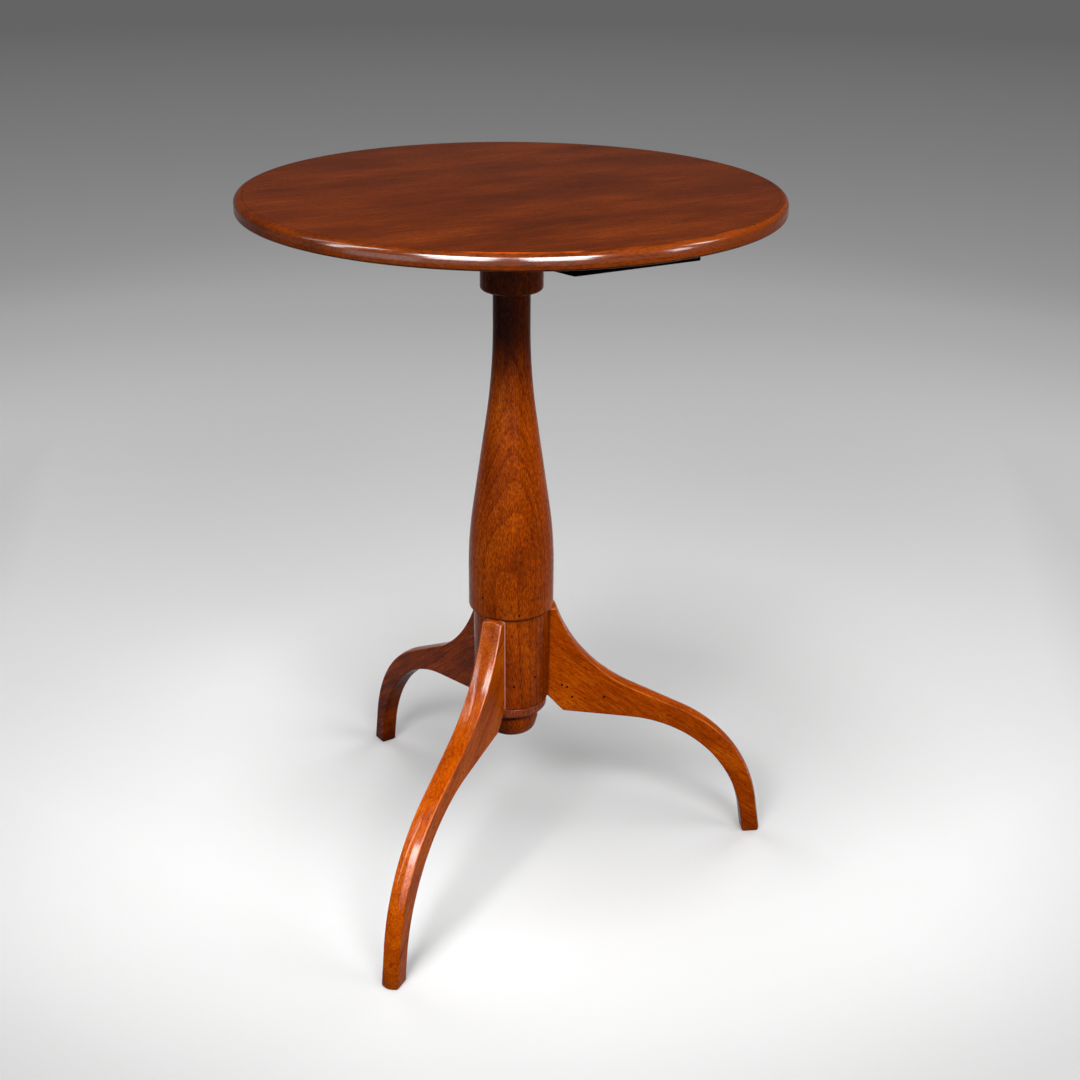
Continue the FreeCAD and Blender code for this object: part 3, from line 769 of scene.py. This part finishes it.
def make_leg(node, angle):
    outer, inner = leg_lines()
    outer_shares = lengths(outer)
    inner_shares = lengths(inner)
    least_gap = 0.0015
    stations = []
    for share in sorted(outer_shares + inner_shares):
        if not stations or share - stations[-1] > least_gap:
            stations.append(share)
    stations[-1] = 1.0
    # Two more rings close to the shoulder hold the line along it: on one leg a pale line, partly old glue
    # and partly a painted highlight, and on the others dark grime
    joint_line = 0.006
    stations = sorted(stations + [joint_line, 1.5 * joint_line])
    joint_line_mark = 2 if node == GLUE_AND_HIGHLIGHT_ON else -1
    bm = bmesh.new()
    rings = []
    wear_and_painted_highlight = {}
    polish = {}

    def add_ring(share, shrink=0.0, drop=0.0):
        outer_point = point_at(outer, outer_shares, share)
        inner_point = point_at(inner, inner_shares, share)
        section = leg_section(outer_point, inner_point, shrink, drop)
        upper_part = smooth_step(share, LEG_DULL_FROM, LEG_POLISHED_TO)
        face_polish = LEG_POLISH[node] * upper_part
        start = len(bm.verts)
        for i, (point, surface) in enumerate(section):
            edge_wear = upper_part if surface == "edge" else 0
            wear_and_painted_highlight[start + i] = joint_line_mark if share <= joint_line else edge_wear
            polish[start + i] = DULL_POLISH if surface == "side" else face_polish
        rings.append([bm.verts.new(point) for point, surface in section])

    for share in stations:
        add_ring(share)
    sole_steps = 4
    for i in range(1, sole_steps + 1):
        turn = math.pi / 2 * i / sole_steps
        add_ring(1.0, FOOT_ROUND * (1 - math.cos(turn)), FOOT_ROUND * math.sin(turn))
    count = len(rings[0])
    for first, second in zip(rings, rings[1:]):
        for i in range(count):
            j = (i + 1) % count
            bm.faces.new((first[i], first[j], second[j], second[i]))
    bm.faces.new(rings[0])
    bm.faces.new(reversed(rings[-1]))
    bm.transform(Matrix.Rotation(math.radians(angle), 4, "Z"))
    back = Matrix.Rotation(-math.radians(angle), 3, "Z")
    # The timber's fibres fall from the column towards the foot, and each leg is cut from its own board
    fall = Matrix.Rotation(FIBRE_FALL, 3, "Y")
    board = Vector([angle * step for step in BOARD_STEP])

    def leg_painted_light_and_tone(place):
        # The leg's painted light and shade, and its darker tone towards the foot
        return LEG_PAINTED_LIGHT_AND_SHADE[node] + FOOT_SHADE * smooth_step(place.z, FOOT_SHADE_TOP, 0)

    make_piece(f"{node}_shaped", bm, node, LEG_WOOD,
               lambda place: (fall @ (back @ place) + board) * MM, lambda number, place: wear_and_painted_highlight[number],
               lambda number, place: polish[number], leg_painted_light_and_tone)


make_top()
make_collar()
make_column()
make_base_cap()
for leg_node, leg_angle in LEGS.items():
    make_leg(leg_node, leg_angle)

# The pieces that stay as the CAD has them
BEARER_ANGLE = math.radians(-67.4)
CAD_MATERIALS = {
    # The bearer is near-black, darker than any colour of the top
    "bearer": plain_wood("bearer_wood_dark", (0.012, 0.004, 0.0015), (0.035, 0.011, 0.004), BEARER_ANGLE),
    "tenon_wedge": plain_wood("wedge_wood_plain", (0.30, 0.18, 0.08), (0.5, 0.34, 0.18), BEARER_ANGLE),
    "bearer_screws": dull_steel(),
}
for cad_node, cad_material in CAD_MATERIALS.items():
    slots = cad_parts[cad_node].material_slots
    for cad_slot in slots:
        cad_slot.material = cad_material

# The camera, at the photograph's place
CAMERA_PLACE = Vector((-0.1338, -1.4934, 1.0200))
CAMERA_HEADING = math.radians(83.76)
CAMERA_PITCH = math.radians(23.66)
CAMERA_ROLL = 0.0096
LENS = 53.48

# The stage: a pale floor, which falls off to grey in the distance and, sooner, towards the near corners: a
# painted pool of light round the table.
# Its levels stand at shares of the span from the column, or at metres from a centre a little behind it.
# Only the camera's side of that centre counts, and there the pale patch is wider than it is deep
FLOOR_SPAN = 12.0
FLOOR_REACH = 40.0
FLOOR_FAR = [(0.03, 0.72), (0.06, 0.60), (0.117, 0.49), (0.18, 0.40), (0.24, 0.40), (0.7, 0.35)]
FLOOR_NEAR = [(0.3, 0.72), (0.4, 0.70), (0.45, 0.67), (0.5, 0.635), (0.55, 0.60), (0.6, 0.555),
              (0.65, 0.505), (0.7, 0.465)]
# A painted glow that the floor gives off to the camera and in gloss, though it is no lamp
FLOOR_PAINTED_GLOW = [(0.05, 0.0), (0.2, 0.19), (0.37, 0.16), (0.7, 0.11)]
FLOOR_UNSEEN = (0.05, 0.05, 0.05)
NEAR_CENTRE = (0.03, 0.22, 0.0)
NEAR_SIDE_ONLY = (9.0, 0.0, 0.0)
NEAR_SQUEEZE = (0.8, 1.0, 1.0)


def floor_material():
    n = Nodes("stage_floor")
    spot = n.add("ShaderNodeTexCoord").outputs["Object"]
    reach = n.vector("LENGTH", spot, (0.0, 0.0, 0.0))
    far = n.math("DIVIDE", reach, FLOOR_SPAN)
    pale_far = n.levels(far, FLOOR_FAR)
    ahead = n.add("ShaderNodeMapping", vector_type="TEXTURE")
    n.put(ahead.inputs["Vector"], spot)
    ahead.inputs["Location"].default_value = NEAR_CENTRE
    ahead.inputs["Rotation"].default_value = (0.0, 0.0, CAMERA_HEADING - math.pi / 2)
    near = n.vector("MINIMUM", ahead.outputs["Vector"], NEAR_SIDE_ONLY)
    near = n.vector("MULTIPLY", near, NEAR_SQUEEZE)
    near_reach = n.vector("LENGTH", near, (0.0, 0.0, 0.0))
    pale_near = n.levels(near_reach, FLOOR_NEAR)
    # The floor's paleness is a painted pool of light round the table
    pale = n.math("MINIMUM", pale_near, pale_far)
    path = n.add("ShaderNodeLightPath")
    seen = n.math("MAXIMUM", path.outputs["Is Camera Ray"], path.outputs["Is Glossy Ray"])
    seen = n.math("MAXIMUM", seen, path.outputs["Is Transmission Ray"])
    paint = n.add("ShaderNodeBsdfDiffuse")
    n.put(paint.inputs["Color"], n.mix(seen, FLOOR_UNSEEN, pale))
    # The painted glow, seen only by the camera and in gloss
    painted_glow = n.add("ShaderNodeEmission")
    n.put(painted_glow.inputs["Color"], n.mix(seen, (0.0, 0.0, 0.0), n.levels(far, FLOOR_PAINTED_GLOW)))
    both = n.add("ShaderNodeAddShader")
    n.put(both.inputs[0], paint.outputs["BSDF"])
    n.put(both.inputs[1], painted_glow.outputs["Emission"])
    # From below, the floor lets the view through
    behind = n.add("ShaderNodeNewGeometry").outputs["Backfacing"]
    clear = n.add("ShaderNodeBsdfTransparent")
    choice = n.add("ShaderNodeMixShader")
    n.put(choice.inputs["Fac"], behind)
    n.put(choice.inputs[1], both.outputs["Shader"])
    n.put(choice.inputs[2], clear.outputs["BSDF"])
    return n.output(choice.outputs["Shader"])


def make_floor():
    mesh = bpy.data.meshes.new("floor")
    corners = [(-1, -1), (1, -1), (1, 1), (-1, 1)]
    corners = [(x * FLOOR_REACH, y * FLOOR_REACH, 0) for x, y in corners]
    mesh.from_pydata(corners, [], [(0, 1, 2, 3)])
    mesh.materials.append(floor_material())
    floor = bpy.data.objects.new("floor", mesh)
    bpy.context.scene.collection.objects.link(floor)


# The world's light, and the backdrop's level at the horizon, above it, and how high up that is reached
WORLD_LIGHT = 0.04
BACKDROP_LOW = 0.13
BACKDROP_HIGH = 0.045
BACKDROP_RISE = 0.3


def make_world():
    """A dim even light. Seen directly or in gloss, it is a grey backdrop that darkens upwards."""
    world = bpy.data.worlds.new("studio")
    world.use_nodes = True
    tree = world.node_tree
    path = tree.nodes.new("ShaderNodeLightPath")
    seen = path.outputs["Is Camera Ray"]
    for other in ("Is Glossy Ray", "Is Transmission Ray"):
        either = tree.nodes.new("ShaderNodeMath")
        either.operation = "MAXIMUM"
        tree.links.new(seen, either.inputs[0])
        tree.links.new(path.outputs[other], either.inputs[1])
        seen = either.outputs[0]
    way = tree.nodes.new("ShaderNodeSeparateXYZ")
    tree.links.new(tree.nodes.new("ShaderNodeTexCoord").outputs["Generated"], way.inputs["Vector"])
    backdrop = tree.nodes.new("ShaderNodeMapRange")
    backdrop.interpolation_type = "SMOOTHSTEP"
    tree.links.new(way.outputs["Z"], backdrop.inputs["Value"])
    backdrop.inputs["From Min"].default_value = 0.0
    backdrop.inputs["From Max"].default_value = BACKDROP_RISE
    backdrop.inputs["To Min"].default_value = BACKDROP_LOW
    backdrop.inputs["To Max"].default_value = BACKDROP_HIGH
    choice = tree.nodes.new("ShaderNodeMapRange")
    choice.inputs["To Min"].default_value = WORLD_LIGHT
    tree.links.new(seen, choice.inputs["Value"])
    tree.links.new(backdrop.outputs["Result"], choice.inputs["To Max"])
    background = tree.nodes["Background"]
    background.inputs["Color"].default_value = (1.0, 1.0, 1.0, 1.0)
    tree.links.new(choice.outputs["Result"], background.inputs["Strength"])
    bpy.context.scene.world = world


def make_camera():
    data = bpy.data.cameras.new("camera")
    data.lens = LENS
    data.sensor_width = 36.0
    camera = bpy.data.objects.new("camera", data)
    bpy.context.scene.collection.objects.link(camera)
    ahead = Vector((math.cos(CAMERA_HEADING), math.sin(CAMERA_HEADING), 0))
    ahead = ahead * math.cos(CAMERA_PITCH) - Vector((0, 0, math.sin(CAMERA_PITCH)))
    right = ahead.cross(Vector((0, 0, 1))).normalized()
    up = right.cross(ahead)
    right, up = (right * math.cos(CAMERA_ROLL) + up * math.sin(CAMERA_ROLL),
                 up * math.cos(CAMERA_ROLL) - right * math.sin(CAMERA_ROLL))
    turn = Matrix((right, up, -ahead)).transposed().to_4x4()
    camera.matrix_world = Matrix.Translation(CAMERA_PLACE) @ turn
    bpy.context.scene.camera = camera


# The lamps: soft boxes round the table, and strips that only show in the polish. For each: its angle from
# the camera's side, to the right, its angle above the floor, its width, height, power and what it lights
LIGHT_TARGET = Vector((0, 0, 0.4))
CAMERA_SIDE = math.atan2(CAMERA_PLACE.y, CAMERA_PLACE.x)
LAMPS = {
    "front_left": (-24, 38, 0.80, 0.50, 25, "both"),
    "front_right": (22, 38, 0.80, 0.50, 23, "both"),
    "panel_left": (-19, 24, 0.90, 1.80, 60, "gloss"),
    "panel_right": (17, 24, 0.88, 1.80, 60, "gloss"),
    "strip_left": (-70, 32, 0.22, 2.00, 18, "gloss"),
    "strip_right": (66, 13, 0.30, 0.90, 9, "gloss"),
    "strip_side_left": (-88, 40, 0.20, 1.00, 3, "gloss"),
    "low_left": (-50, 0, 1.20, 0.70, 3, "gloss"),
    "side_right": (85, 36, 0.25, 0.60, 7, "gloss"),
    "fill_right": (72, 30, 1.20, 1.20, 16, "diffuse"),
    "back_left": (-140, 30, 1.20, 1.20, 12, "diffuse"),
    "back_right": (140, 30, 1.20, 1.20, 12, "diffuse"),
    "overhead": (-25, 71, 0.70, 0.70, 34, "diffuse"),
}
LAMP_DISTANCE = 2.2


def make_lamp(name, side, height, width, tallness, power, lights):
    data = bpy.data.lights.new(name, "AREA")
    data.shape = "RECTANGLE"
    data.size = width
    data.size_y = tallness
    data.energy = power
    lamp = bpy.data.objects.new(name, data)
    bpy.context.scene.collection.objects.link(lamp)
    way = CAMERA_SIDE + math.radians(side)
    rise = math.radians(height)
    out = Vector((math.cos(way) * math.cos(rise), math.sin(way) * math.cos(rise), math.sin(rise)))
    lamp.location = LIGHT_TARGET + out * LAMP_DISTANCE
    lamp.rotation_mode = "QUATERNION"
    lamp.rotation_quaternion = out.to_track_quat("Z", "Y")
    lamp.visible_glossy = lights != "diffuse"
    lamp.visible_diffuse = lights != "gloss"


make_floor()
make_world()
make_camera()
for lamp_name, lamp_setting in LAMPS.items():
    make_lamp(lamp_name, *lamp_setting)
bpy.context.scene.view_settings.view_transform = "Standard"
